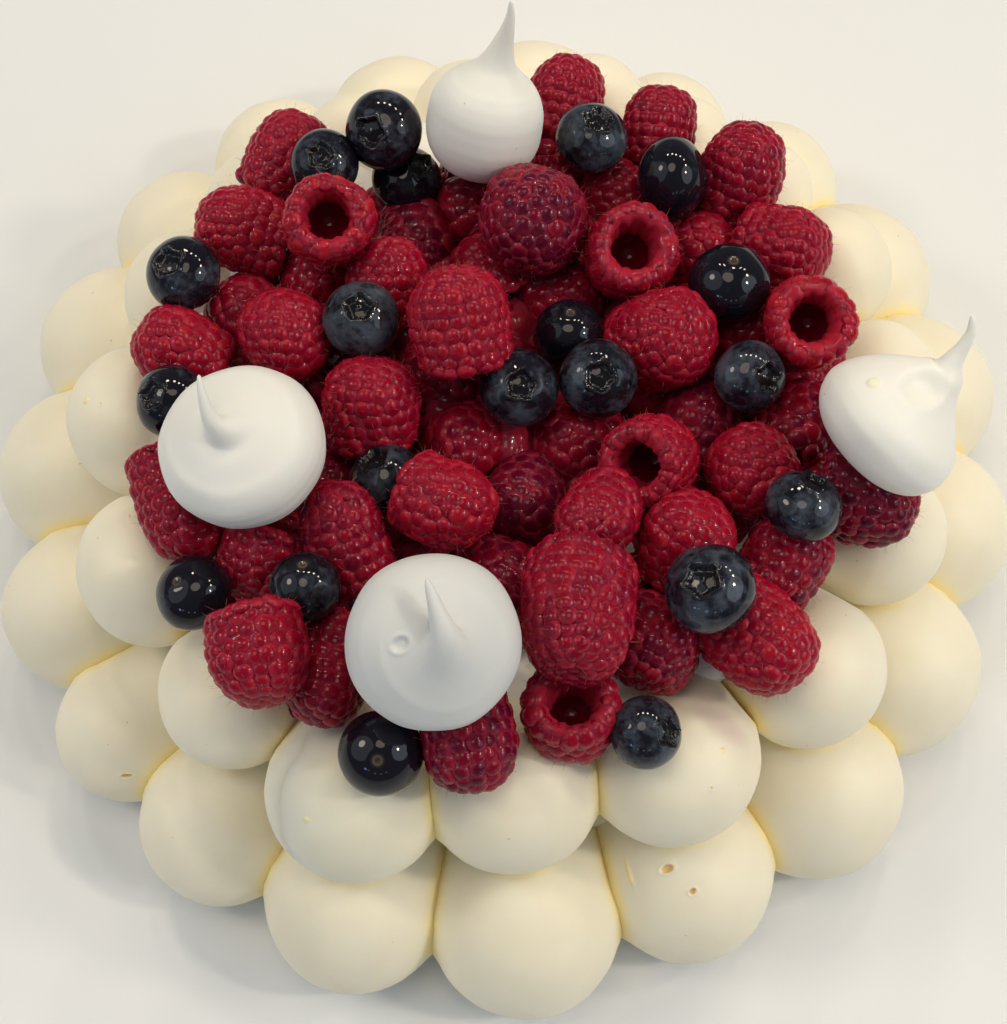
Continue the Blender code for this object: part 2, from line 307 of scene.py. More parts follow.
def meringue_finish(name, ivory, shade, glow_gold):
    finish = Finish(name, Subsurface_Weight=0.25, Subsurface_Radius=(1.0, 0.62, 0.32),
                    Subsurface_Scale=0.003, Specular_IOR_Level=0.35)
    patch = finish.cloud(14 * MM).step(0.35, 0.7)
    colour = finish.blend(patch, ivory, shade)
    # Painted glow: yellow where drops meet and in small pits, for light that shines through the
    # meringue and bounces there.
    colour = finish.blend(finish.mark("crease").step(0.15, 1.0) * 0.85, colour, glow_gold)
    # Painted shade: grey mixed in where a kiss is marked as standing in shade.
    colour = finish.blend(finish.mark("dim"), colour, SHADE_GREY)
    colour = finish.blend(finish.mark("burst").step(0.1, 0.9), colour, BUBBLE_GOLD)
    # A pinkish-brown patch, painted where the patch mark is.
    colour = finish.blend(finish.mark("juice") * 0.5, colour, PINK_BROWN)
    grain = finish.node("ShaderNodeTexVoronoi", None,
                        {"Vector": finish.place, "Scale": 1 / (7 * MM), "Randomness": 1.0},
                        output="Distance")
    speck = 1 - (grain + finish.cloud(1.5 * MM) * 0.03).step(0.035, 0.055)
    finish.set("Base Color", finish.blend(speck * 0.4, colour, SPECK_BROWN))
    finish.set("Roughness", 0.4 + finish.cloud(5 * MM) * 0.2)
    finish.bump(finish.cloud(3.5 * MM, 4) + finish.cloud(0.7 * MM, 2) * 0.15, 0.12 * MM, 0.35)
    return finish.material


# The last colour of each finish is its painted yellow glow.
drop_finish = meringue_finish("piped_meringue", (0.93, 0.85, 0.66), (0.90, 0.815, 0.62),
                              (1.0, 0.80, 0.33))
kiss_finish = meringue_finish("kiss_meringue", (0.87, 0.85, 0.78), (0.84, 0.82, 0.74),
                              (0.87, 0.82, 0.63))
print("two meringue finishes")


# %% [markdown]
# ## Putting a piece on the cake
# Every finished piece is one mesh with smooth shading. It rides on the cake, carries its finish,
# and hides the plain solid that it replaces. The other helpers join meshes, copy a small one many
# times, and press pits into a skin.

# %% Finished pieces
def finish_piece(name, bm, finish, slot, *nodes):
    bmesh.ops.recalc_face_normals(bm, faces=bm.faces)
    mesh = bpy.data.meshes.new(name)
    bm.to_mesh(mesh)
    bm.free()
    mesh.shade_smooth()
    mesh.materials.append(finish)
    piece = add_object(name, mesh)
    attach(piece, "root")
    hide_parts(*nodes)


def join(bm, part):
    """Add one mesh that is being made to another, and free it."""
    carrier = bpy.data.meshes.new("carrier")
    part.to_mesh(carrier)
    part.free()
    bm.from_mesh(carrier)
    bpy.data.meshes.remove(carrier)


class Stamp:
    """A small mesh that is made once and then copied to many places."""

    def __init__(self, bm):
        self.mesh = bpy.data.meshes.new("stamp")
        bm.to_mesh(self.mesh)
        bm.free()
        self.rest = [0.0] * (3 * len(self.mesh.vertices))
        self.mesh.vertices.foreach_get("co", self.rest)

    def copy_to(self, bm, matrix, **marks):
        for name, value in marks.items():
            values = [value] * len(self.mesh.vertices)
            self.mesh.attributes[name].data.foreach_set("value", values)
        self.mesh.vertices.foreach_set("co", self.rest)
        self.mesh.transform(matrix)
        bm.from_mesh(self.mesh)


def new_skin():
    """An empty mesh that can carry the marks of the meringue finish."""
    bm = bmesh.new()
    for name in ("crease", "burst", "dim", "juice"):
        bm.verts.layers.float.new(name)
    return bm


def skin_below(bm, above):
    """Where a skin is met from a place above it, and which way it faces there."""
    bm.normal_update()
    spot, normal, _, _ = BVHTree.FromBMesh(bm).ray_cast(above, -UP)
    return spot, -normal if normal.z < 0 else normal


FINEST_EDGE = 0.12 * MM


def dent(bm, spot, normal, along, length, width, depth, lip, mark, soft=0.5, share=1.0):
    """Press a neat pit, length by width, into the skin round a spot, with a raised lip."""
    across = normal.cross(along).normalized()
    along = across.cross(normal).normalized()
    layer = bm.verts.layers.float[mark]

    def reach(vert):
        away = vert.co - spot
        if abs(away.dot(normal)) > 2 * max(length, depth):
            return math.inf
        return math.hypot(away.dot(along) / length * 2, away.dot(across) / width * 2)

    for near in (2.6, 1.9):
        edges = [edge for edge in bm.edges if min(reach(vert) for vert in edge.verts) < near
                 and edge.calc_length() > max(FINEST_EDGE, 0.08 * width)]
        bmesh.ops.subdivide_edges(bm, edges=edges, cuts=3, use_grid_fill=True)
    for vert in bm.verts:
        away = reach(vert)
        if away < 3:
            pressed = ease((1 + soft / 3 - away) / soft)
            vert.co += normal * (lip * bell(away - 1.35, 0.35) - depth * pressed)
            vert[layer] = max(vert[layer], share * ease((1.1 - away) / 0.3))


# %% [markdown]
# ## The two tiers
# The cook pipes fat drops side by side and drags each one inwards, so a drop is a ball in
# front that runs out into a tail behind. The ball is a UV sphere whose poles point along
# the drop. The half behind its middle is drawn out, narrows towards the middle of the cake
# and sinks. Below the waist the ball follows the tier that it sits on. Neighbours cut into
# each other, which leaves the deep creases.

# %% Drops of both tiers
Tier = namedtuple("Tier", "start floor waist foot_angle tail_reach tail_height tail_length")
LOWER_TIER = Tier(12, 0, 13.4 * MM, 45, 60 * MM, 27 * MM, 36 * MM)
UPPER_TIER = Tier(-10, 26 * MM, 41 * MM, 78, 63 * MM, 48.5 * MM, 27 * MM)
SHY = 0.45 * MM
SLUMP = 0.45 * MM

# The drops of a tier in turn: width in degrees, reach of the outside and radius in mm.
LOWER_DROPS = (
    (19, 114, 18), (19, 114, 18), (20, 112, 19), (21, 111, 19), (20, 112, 19),
    (20, 113, 19), (18, 115, 17), (16, 115, 16), (22, 116, 20), (18, 115, 18),
    (18, 115, 17), (18, 114, 17), (20, 113, 19), (20, 113, 19), (19, 114, 18),
    (15, 114, 15), (18, 115, 17), (19, 118, 18), (20, 118, 19),
)
UPPER_DROPS = (
    (21, 96, 17), (23, 97, 16), (23, 96, 15), (24, 93, 14), (25, 91, 14), (20, 91, 14),
    (16, 90, 12), (15, 89, 12), (19, 92, 14), (21, 89, 13), (20, 87, 13), (20, 87, 13),
    (22, 88, 14), (26, 91, 15), (24, 94, 15), (21, 95, 14), (22, 102, 15.5),
)


def pipe_drop(tier, bearing, reach, radius, skip, low=0.0, fat=1.0):
    """One drop: a ball whose inner half is drawn out into a tail. A fat one is pressed
    wider, against its neighbours."""
    bm = new_skin()
    bmesh.ops.create_uvsphere(bm, u_segments=48, v_segments=36, radius=1,
                              matrix=Matrix.Rotation(math.pi / 2, 4, "Y"))
    outward = on_plan(1, bearing)
    sideways = on_plan(1, bearing + 90)
    middle = reach - SHY - radius
    foot = (tier.waist - tier.floor) / math.sin(math.radians(tier.foot_angle))
    for vert in bm.verts:
        out, aside, up = vert.co
        width = crest = radius
        shrink = 1
        if out < 0:
            share = -out
            inward = tier.tail_length * share
            round_off = math.sqrt(max(1 - share ** 2, 1e-9))
            shrink = math.sqrt(max(1 - share ** 5, 0)) / round_off
            width = radius * (1 - inward / middle)
            sunk = tier.waist + radius - tier.tail_height
            crest = radius - sunk * ease(inward / (middle - tier.tail_reach))
            out = -inward / radius
        height = up * shrink * (crest if up > 0 else foot)
        place = outward * (middle + out * radius) + sideways * aside * shrink * width * fat
        place += UP * (max(tier.waist + height, tier.floor) - low)
        vert.co = place
    bm.normal_update()
    for vert in bm.verts:
        wave = noise.noise(vert.co / (17 * MM) + skip)
        wave += 0.4 * noise.noise(vert.co / (7 * MM) + skip)
        vert.co -= vert.normal * SLUMP * (wave + 0.5)
        vert.co.z = max(vert.co.z, 0)
    return bm


def pipe_tier(tier, drops, skip):
    """All the drops of a tier in turn."""
    made = []
    bearing = tier.start
    for width, reach, radius in drops:
        spacing = 2 * (reach - radius) * math.sin(math.radians(width / 2))
        made.append(pipe_drop(tier, bearing + width / 2, reach * MM, radius * MM, skip,
                              fat=min(max(0.52 * spacing / radius, 1), 1.05)))
        bearing += width
    return made


lower_drops = pipe_tier(LOWER_TIER, LOWER_DROPS, Vector((3, 0, 0)))
upper_drops = pipe_tier(UPPER_TIER, UPPER_DROPS, Vector((0, 7, 0)))
print(len(lower_drops), "drops below and", len(upper_drops), "above")


# %% [markdown]
# ## The fold between two front drops
# Where the cook stopped and started again, a thin lip of meringue stands between two of
# the upper drops, at the front left. It is one more drop, set a little back and lower, so
# that only its edge shows.

# %% A fold
fold = pipe_drop(UPPER_TIER, 339.9, 101.5 * MM, 15.6 * MM, Vector(), low=1.4 * MM, fat=1.04)
print("one fold")


# %% [markdown]
# ## Creases and the floor inside
# The painted yellow glow of the creases is written on the vertices. It stands for the light that
# shines through the meringue and bounces between the drops. Each vertex looks for the nearest other
# drop, and stands out a little where that is close. Under the cream the rings are closed by a plain
# disc of meringue, turned on the cake's own axis.

# %% Creases and floor
CREASE_WIDE = 2.6 * MM
FILL = 0.6 * MM
FILL_WIDE = 1.5 * MM


def mark_creases(drop, near):
    """Write on every vertex how close the nearest of some other drops is, and swell the
    skin there, because soft drops run together where they touch."""
    crease = drop.verts.layers.float["crease"]
    for vert in drop.verts:
        found = [skin.find_nearest(vert.co, 4 * CREASE_WIDE)[3] for skin in near]
        gap = min((away for away in found if away is not None), default=1)
        # How close the other drop is sets the painted yellow glow.
        vert[crease] = bell(gap, CREASE_WIDE)
        vert.co += vert.normal * FILL * bell(gap, FILL_WIDE)
        vert.co.z = max(vert.co.z, 0)


def join_drops(drops, others):
    """Mark the creases of a ring of drops and join it into one mesh."""
    skins = [BVHTree.FromBMesh(drop) for drop in drops]
    tier = new_skin()
    for index, drop in enumerate(drops):
        mark_creases(drop, [skins[index - 1], skins[(index + 1) % len(drops)]] + others)
        join(tier, drop)
    return tier


mark_creases(fold, [BVHTree.FromBMesh(upper_drops[-2])])
upper = join_drops(upper_drops, [])
join(upper, fold)
lower = join_drops(lower_drops, [BVHTree.FromBMesh(upper)])
print("the creases are marked")


def turn_on_axis(bm, outline, steps):
    """Spin an outline of (radius, height) points that starts and ends on the axis."""
    line = [bmesh.ops.create_vert(bm, co=(radius, 0, height))["vert"][0]
            for radius, height in outline]
    edges = [bm.edges.new(pair) for pair in zip(line, line[1:])]
    bmesh.ops.spin(bm, geom=line + edges, axis=(0, 0, 1), cent=(0, 0, 0),
                   angle=math.tau, steps=steps, use_merge=True)
    bmesh.ops.remove_doubles(bm, verts=bm.verts, dist=0.001 * MM)
    return list(bm.verts)


floor = new_skin()
turn_on_axis(floor, [(reach * MM, height * MM) for reach, height in (
    (0, 0.2), (40, 0.2), (80, 0.2), (84, 4), (84, 24), (76, 29), (40, 29), (0, 29))], 72)
finish_piece("meringue_floor", floor, drop_finish, "meringue", "meringue")


# %% [markdown]
# ## Burst bubbles
# Here and there a bubble broke through the skin while it dried. Each is a neat oval pit with a
# raised pale lip and a golden inside. The skin is cut finer there before it is pressed in. Where a
# bubble did not break, or the bag left a thread, the depth is less than nothing and the skin stands
# up. These and the shallowest pits carry the painted yellow glow of the creases instead of the
# gold. On one front drop a pinkish-brown patch is painted.

# %% Burst bubbles
Bubble = namedtuple("Bubble", "bearing reach length width turn depth")
LOWER_BUBBLES = [Bubble(*row) for row in (
    (18.0, 96.9, 2.5, 1.5, 0, 0.7), (19.8, 102.3, 1.4, 1.1, 20, 0.6),
    (14.1, 94.7, 6.0, 0.9, 90, -0.3), (68.4, 99.7, 2.4, 1.5, 60, 0.6),
    (313.5, 104.7, 2.2, 1.0, 40, 0.6),
)]
UPPER_BUBBLES = [Bubble(*row) for row in (
    (26.7, 85.3, 1.0, 0.8, 0, 0.25), (23.5, 90.2, 0.7, 0.7, 0, 0.2),
    (338.0, 95.0, 1.2, 1.0, 0, -0.2), (292.8, 78.0, 1.0, 0.8, 0, 0.3),
    (274.2, 80.9, 0.8, 0.8, 0, 0.25), (273.0, 84.0, 1.4, 1.2, 0, -0.2),
)]


def burst(bm, bubbles):
    for bubble in bubbles:
        above = on_plan(bubble.reach * MM, bubble.bearing) + UP * 0.1
        spot, normal = skin_below(bm, above)
        along = on_plan(1, bubble.bearing + 90 + bubble.turn)
        lip = 0.16 * MM if bubble.depth > 0 else 0
        # Deep pits show their golden inside; shallow and raised ones get the painted yellow glow.
        dent(bm, spot, normal, along, bubble.length * MM, bubble.width * MM,
             bubble.depth * MM, lip, "burst" if bubble.depth > 0.4 else "crease")


def paint_pink_patch(bm, bearing, reach, length, width, turn):
    """A pinkish-brown patch painted on the upper skin, above 30 mm."""
    juice = bm.verts.layers.float["juice"]
    along = on_plan(1, turn)
    across = on_plan(1, turn + 90)
    for vert in bm.verts:
        away = Vector((vert.co.x, vert.co.y, 0)) - on_plan(reach * MM, bearing)
        off = math.hypot(away.dot(along) / length, away.dot(across) / width) * 2 / MM
        if vert.co.z > 30 * MM:
            vert[juice] = ease(1.5 - off)


paint_pink_patch(upper, 28.5, 80.6, 11, 4.6, 51)
burst(lower, LOWER_BUBBLES)
burst(upper, UPPER_BUBBLES)
finish_piece("meringue_lower_tier", lower, drop_finish, "meringue", "meringue")
finish_piece("meringue_upper_tier", upper, drop_finish, "meringue", "meringue")
print(len(LOWER_BUBBLES) + len(UPPER_BUBBLES), "bubbles show in the skin")


# %% [markdown]
# ## Whipped cream
# The cream is smoothed flat with a spoon, and shows only in the notches between the upper
# drops. It is a turned disc with the soft ripples that the spoon leaves.

# %% Cream
finish = Finish("whipped_cream", Subsurface_Weight=0.3, Subsurface_Radius=(1.0, 0.8, 0.6),
                Subsurface_Scale=0.002, Roughness=0.38)
finish.set("Base Color", finish.blend(finish.cloud(6 * MM), (0.84, 0.82, 0.75),
                                      (0.88, 0.86, 0.78)))
finish.bump(finish.cloud(2 * MM, 3), 0.2 * MM, 0.5)
cream_finish = finish.material

CREAM_REACH = 72 * MM
CREAM_FOOT = 29.2 * MM
CREAM_TOP = 48.3 * MM
cream = bmesh.new()
outline = [(reach * MM, CREAM_FOOT) for reach in (0, 30, 60)] + [(66 * MM, 36 * MM)]
outline += [(CREAM_REACH - inset * MM, height * MM)
            for inset, height in ((0, 43), (0, 45.5), (0.6, 47), (2, 48))]
outline += [(CREAM_REACH * (1 - step / 24) - 2 * MM, CREAM_TOP) for step in range(1, 23)]
outline += [(0, CREAM_TOP)]
for vert in turn_on_axis(cream, outline, 96):
    if vert.co.z > 40 * MM:
        ripple = noise.noise(vert.co / (9 * MM)) + 0.5 * noise.noise(vert.co / (4 * MM))
        vert.co.z += 0.7 * MM * ripple
finish_piece("whipped_cream", cream, cream_finish, "cream", "cream")
print("the cream reaches", round(CREAM_REACH / MM), "mm")


# %% [markdown]
# ## Raspberry finish
# A raspberry is dark crimson, and paler and more orange while it is unripe. Light gets a little way
# into each of its beads, and the glow of their edges where they meet is painted on as a paler red.
# The lining of the hollow is painted nearly black, as painted shade. `ripe` says how ripe the berry
# is, `rise` how far out of the berry a point of a bead stands, and `bead` is a number of its own
# for each bead.

# %% Raspberry finish
finish = Finish("raspberry", Subsurface_Weight=0.6, Subsurface_Radius=(1.0, 0.14, 0.12),
                Subsurface_Scale=0.0018, Coat_Weight=0.7, Coat_Roughness=0.08,
                Coat_IOR=1.36, Specular_IOR_Level=0.0)
ripe = finish.mark("ripe") + finish.mark("bead") * 0.3 - 0.15
flesh = finish.blend(ripe.step(0.0, 0.45), (0.46, 0.010, 0.018), (0.25, 0.002, 0.016))
flesh = finish.blend(ripe.step(0.5, 1.0), flesh, (0.085, 0.002, 0.016))
rise = finish.mark("rise")
# Painted glow: a paler red near the edge of each bead and between the beads, for light that shines
# through.
rim = rise.step(0.2, 0.4) * (1 - rise.step(0.62, 0.88))
flesh = finish.blend(rim * 0.24, flesh, (0.60, 0.05, 0.09))
# Painted shade: the lining of the hollow is nearly black.
flesh = finish.blend((1 - rise.step(-0.3, 0.1)) * 0.75, flesh, (0.08, 0.001, 0.007))
finish.set("Base Color", flesh)
finish.set("Roughness", 0.34 + finish.cloud(1.2 * MM) * 0.24)
finish.bump(finish.cloud(0.5 * MM, 3), 0.05 * MM, 0.5)
raspberry_finish = finish.material
print("a raspberry finish")


# %% [markdown]
# ## A raspberry
# A raspberry is a thimble of small beads round the hollow that the stalk left. The thimble
# is turned, and the beads sit on it in staggered rings, each a squashed icosphere that is
# sunk so far that only its cap shows. At the open end the last ring folds over the rim
# and lines the hollow. Every bead is a little larger or smaller than the next, and ends in
# a fine dry hair.

# %% A raspberry
BEAD_PITCH = 3.0 * MM
BEAD_DEPTH = 1.4 * MM
CORE_INSET = 0.62 * MM
HOLLOW_SHARE = 0.48
CAP_STEPS = 20
SIDE_STEPS = 6
FOLD_STEPS = 12
BRIM = CAP_STEPS + SIDE_STEPS
MARKS = ("rise", "ripe", "bead")
HAIRS = []


def rim_radius(half_width, hole):
    """The open rim is round, and reaches from the hollow nearly to the side."""
    return (0.94 * half_width - hole) / 2


def thimble(width, length, hole, open_end):
    """The outline of a raspberry as (radius, height): from its tip down its side and round
    its open rim, and where the open end shows also up the inside of the hollow."""
    half_width = width / 2
    half_length = length / 2
    rim = rim_radius(half_width, hole)
    low = rim - half_length
    outline = []
    for step in range(CAP_STEPS + 1):
        angle = math.pi / 2 * step / CAP_STEPS
        outline.append(Vector((half_width * math.sin(angle) ** 0.74,
                               half_length * math.cos(angle))))
    for step in range(1, SIDE_STEPS + 1):
        share = step / SIDE_STEPS
        outline.append(Vector((half_width * (1 - 0.06 * share ** 2), low * share)))
    for step in range(1, FOLD_STEPS + 1 if open_end else 8):
        angle = -math.pi * step / FOLD_STEPS
        outline.append(Vector((hole + rim + rim * math.cos(angle), low + rim * math.sin(angle))))
    if open_end:
        outline += [Vector((hole * (1 - 0.03 * step), low + step * MM)) for step in range(1, 7)]
    return outline


def walk(outline, stride):
    """Places along an outline at an even stride, with the direction that it has there."""
    left = 0
    for first, second in zip(outline, outline[1:]):
        span = (second - first).length
        while left <= span:
            yield first.lerp(second, left / span), (second - first).normalized()
            left += stride
        left -= span


def new_berry():
    """An empty mesh that can carry the marks of the raspberry finish."""
    bm = bmesh.new()
    for name in MARKS:
        bm.verts.layers.float.new(name)
    return bm


def marks_of(bm):
    return [bm.verts.layers.float[name] for name in MARKS]


def random_vector(low, high):
    return Vector([dice.uniform(low, high) for _ in range(3)])


one_bead = new_berry()
bmesh.ops.create_icosphere(one_bead, subdivisions=2, radius=1)
rise_mark = marks_of(one_bead)[0]
for vert in one_bead.verts:
    vert[rise_mark] = vert.co.z
BEAD = Stamp(one_bead)


def add_bead(bm, place, outward, around, size, ripeness):
    """A bead with its own three half sizes: around, along and outwards."""
    along = outward.cross(around).normalized()
    around = along.cross(outward).normalized()
    scale = 1 + dice.uniform(-0.12, 0.12)
    turned = Matrix((around * size[0] * scale, along * size[1] * scale,
                     outward * size[2] * scale)).transposed().to_4x4()
    BEAD.copy_to(bm, Matrix.Translation(place) @ turned, ripe=ripeness, bead=dice.random())
    HAIRS.append((place + outward * size[2] * scale * 0.9, outward))


RIBS = 15
RIB_STEPS = 6 * RIBS


def ribbed_lip(outline, centre, ripeness, turn):
    """The lip of the open end: its ribs are the ends of the beads, run together."""
    bm = new_berry()
    rise_mark, ripe_mark, bead_mark = marks_of(bm)
    skip = random_vector(0, 50)
    rings = []
    for ring, spot in enumerate(outline):
        out = Vector((spot.x - centre.x, min(spot.y - centre.y, 0))).normalized()
        row = []
        for step in range(RIB_STEPS):
            angle = math.tau * step / RIB_STEPS
            ray = ray_at(angle)
            sway = noise.noise(ray * 2 + skip)
            groove = abs(math.sin((angle + 0.25 * sway) * RIBS / 2)) ** 0.7
            loose = noise.noise(ray * 3 + UP * ring * 0.25 - skip)
            place = spot + out * MM * (0.26 * (groove - 1) + 0.55 * loose)
            vert = bm.verts.new((place.x * math.cos(angle + turn),
                                 place.x * math.sin(angle + turn), place.y))
            vert[rise_mark] = 0.34 + 0.3 * groove
            vert[ripe_mark] = ripeness
            vert[bead_mark] = 0.5 + 0.8 * loose
            row.append(vert)
        rings.append(row)
    for near, far in zip(rings, rings[1:]):
        for step in range(RIB_STEPS):
            after = (step + 1) % RIB_STEPS
            bm.faces.new((near[step], far[step], far[after], near[after]))
    return bm


def berry_core(outline, hole, length, ripeness):
    """The flesh that shows between the beads, painted with the paler glow of the bead edges, and
    the lining of the hollow, painted dark as painted shade.
    """
    core = new_berry()
    shell = [(0, outline[0].y - CORE_INSET)]
    shell += [(max(spot.x - CORE_INSET, 0.1 * MM), spot.y - CORE_INSET * (spot.y > 0))
              for spot in outline[4:BRIM + 1:2]]
    low = outline[BRIM].y
    shell += [((shell[-1][0] + hole) / 2 + 0.6 * MM, low - 1.0 * MM), (hole + 0.9 * MM, low),
              (hole + 0.7 * MM, low + 3 * MM), (hole * 0.9, 0.02 * length),
              (hole * 0.5, 0.16 * length), (0, 0.2 * length)]
    rise_mark, ripe_mark, _ = marks_of(core)
    for vert in turn_on_axis(core, shell, 24):
        outside = Vector(vert.co.xy).length > hole + 1.2 * MM or vert.co.z > 0.3 * length
        vert[ripe_mark] = ripeness + 0.2
        # 0.45 paints the paler glow between the beads; -0.3 paints the hollow with painted shade.
        vert[rise_mark] = 0.45 if outside else -0.3
    return core


def raspberry(width, length, ripeness, pitch, open_end):
    """A raspberry with its tip up, round its own middle."""
    bm = new_berry()
    hole = HOLLOW_SHARE * width / 2
    outline = thimble(width, length, hole, open_end)
    turn = dice.uniform(0, math.tau)
    beaded = outline[:BRIM + 7] if open_end else outline
    for row, (spot, heading) in enumerate(walk(beaded, pitch * 0.86)):
        out = Vector((-heading.y, heading.x)) if row else Vector((0, 1))
        centre = spot - out * BEAD_DEPTH
        round_it = math.tau * max(spot.x - 0.3 * BEAD_DEPTH * out.x, 0.3 * MM)
        count = max(1, round(round_it / pitch)) if row else 1
        half = (round_it / count * 0.66 if row else pitch * 0.62, pitch * 0.66, BEAD_DEPTH)
        for step in range(count):
            angle = turn + math.tau * (step + 0.5 * (row % 2)) / count
            angle += dice.uniform(-0.08, 0.08) * (row > 1)
            ray = ray_at(angle)
            outward = (ray * out.x + UP * out.y).normalized()
            tilted = random_vector(-0.12, 0.12)
            nudge = dice.uniform(-0.18, 0.14) * MM
            add_bead(bm, ray * centre.x + UP * centre.y + outward * nudge,
                     (outward + tilted).normalized(), UP.cross(ray), half, ripeness)
    if open_end:
        rim = rim_radius(width / 2, hole)
        middle = Vector((hole + rim, rim - length / 2))
        lip = [spot + (middle - spot).normalized() * max(0.5 - 0.12 * step, 0) * MM
               for step, spot in enumerate(outline[BRIM + 2:])]
        join(bm, ribbed_lip(lip, middle, ripeness, turn))
    join(bm, berry_core(outline, hole, length, ripeness))
    return bm


def lay(bm, hairs_from, lean, bearing, place):
    """Lean a berry over towards a bearing and put it in its place, with its hairs."""
    turned = leaning(lean, bearing)
    for vert in bm.verts:
        vert.co = turned @ vert.co + place
    for index in range(hairs_from, len(HAIRS)):
        root, outward = HAIRS[index]
        HAIRS[index] = (turned @ root + place, turned @ outward)


def press(bm, amount):
    """A soft berry is never quite round: swell it here and there."""
    skip = random_vector(0, 50)
    for vert in bm.verts:
        swell = noise.noise(vert.co / (11 * MM) + skip)
        vert.co *= 1 + amount * swell


# %% [markdown]
# ## The raspberries on top
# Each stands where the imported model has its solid. The table gives its width and length in
# mm, how far it leans from tip up, towards which bearing, and how ripe it is. One that
# leans past `OPEN_FROM` shows its open end.

# %% Raspberries
OPEN_FROM = 110
Berry = namedtuple("Berry", "width length lean bearing shade")
RASPBERRIES = [Berry(*row) for row in (
    (17, 17, 80, 150, 0.72), (17, 17, 120, 330, 0.55), (18, 19, 80, 60, 0.75),
    (16, 20, 80, 350, 0.70), (17, 20, 70, 150, 0.50), (18, 15, 175, 0, 0.45),
    (17, 18, 60, 250, 0.40), (17, 22, 95, 20, 0.52), (19, 22, 40, 150, 0.62),
    (17, 19, 60, 160, 0.50), (16, 17, 60, 170, 0.58), (18, 19, 70, 60, 0.48),
    (18, 20, 90, 60, 0.85), (19, 21, 80, 40, 0.38), (18, 18, 20, 0, 0.50),
    (18, 19, 70, 260, 0.40), (18, 18, 40, 150, 0.45), (17, 18, 100, 10, 0.80),
    (18, 20, 140, 140, 0.42), (17, 18, 50, 180, 0.50), (18, 20, 50, 30, 0.45),
    (16, 20, 50, 200, 0.68), (19, 18, 40, 180, 0.55), (20, 20, 30, 60, 0.48),
    (18, 18, 154, 170, 0.30), (19, 18, 156, 190, 0.40), (15, 17, 60, 330, 0.60),
    (17, 18, 80, 60, 0.40), (18, 18, 100, 10, 0.50), (22, 22, 30, 0, 0.85),
    (18, 17, 153, 191, 0.30), (21, 24, 80, 355, 0.62), (20, 20, 50, 190, 0.45),
)]

for number, berry in enumerate(RASPBERRIES, start=1):
    node = f"raspberry_{number:02}"
    low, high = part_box(node)
    hairs_from = len(HAIRS)
    bm = raspberry(berry.width * MM, berry.length * MM, berry.shade, BEAD_PITCH,
                   open_end=berry.lean > OPEN_FROM)
    press(bm, 0.1)
    lay(bm, hairs_from, berry.lean, berry.bearing, (low + high) / 2)
    finish_piece(f"{node}_beads", bm, raspberry_finish, "raspberry", node)
print(len(RASPBERRIES), "raspberries with", len(HAIRS), "beads that end in a hair")


# %% [markdown]
# ## The berries underneath
# The heap is berries all the way down to the cream. Those underneath show only in the gaps
# between the others, so they are one piece, with slightly larger beads.

# %% Buried raspberries
BURIED_WIDTH = 17 * MM
BURIED_PITCH = 3.5 * MM
BURIED_PLACES = (
    (-53, 14, 15), (-8, -15, 15), (3, -28, 15), (13, -15, 15), (58, -10, 15), (-19, 31, 14),
    (-8, 40, 14), (23, 43, 15), (40, 29, 15), (-4, 24, 15), (12, 18, 15), (-33, -23, 10),
    (-1, -44, 15), (-25, -43, 8), (-14, 0, 15), (37, -11, 15), (-38, 22, 15), (48, 10, 15),
    (9, 50, 14), (-7, 49, 12), (57, 3, 14), (-49, -44, 8), (61, -22, 9), (-37, -57, 7),
)

buried = new_berry()
hairs_kept = len(HAIRS)
for right, back, top in BURIED_PLACES:
    bm = raspberry(BURIED_WIDTH, BURIED_WIDTH, dice.uniform(0.5, 0.9), BURIED_PITCH, open_end=False)
    place = Vector((right * MM, back * MM, CREAM_TOP + (top - 8.5) * MM))
    lay(bm, len(HAIRS), dice.uniform(30, 90), dice.uniform(0, 360), place)
    join(buried, bm)
del HAIRS[hairs_kept:]
finish_piece("buried_raspberries", buried, raspberry_finish, "berry_heap", "berry_heap")
print(len(BURIED_PLACES), "raspberries lie underneath")


# %% [markdown]
# ## The foot of the heap
# Under and between the buried berries lie squashed ones, too deep to tell apart. They are one low
# mound on the cream: a plain disc that is raised into a cap for each berry, and on each cap into
# small beads. All of it has the darkest red of the ripest berries, as painted shade deep in the
# heap.

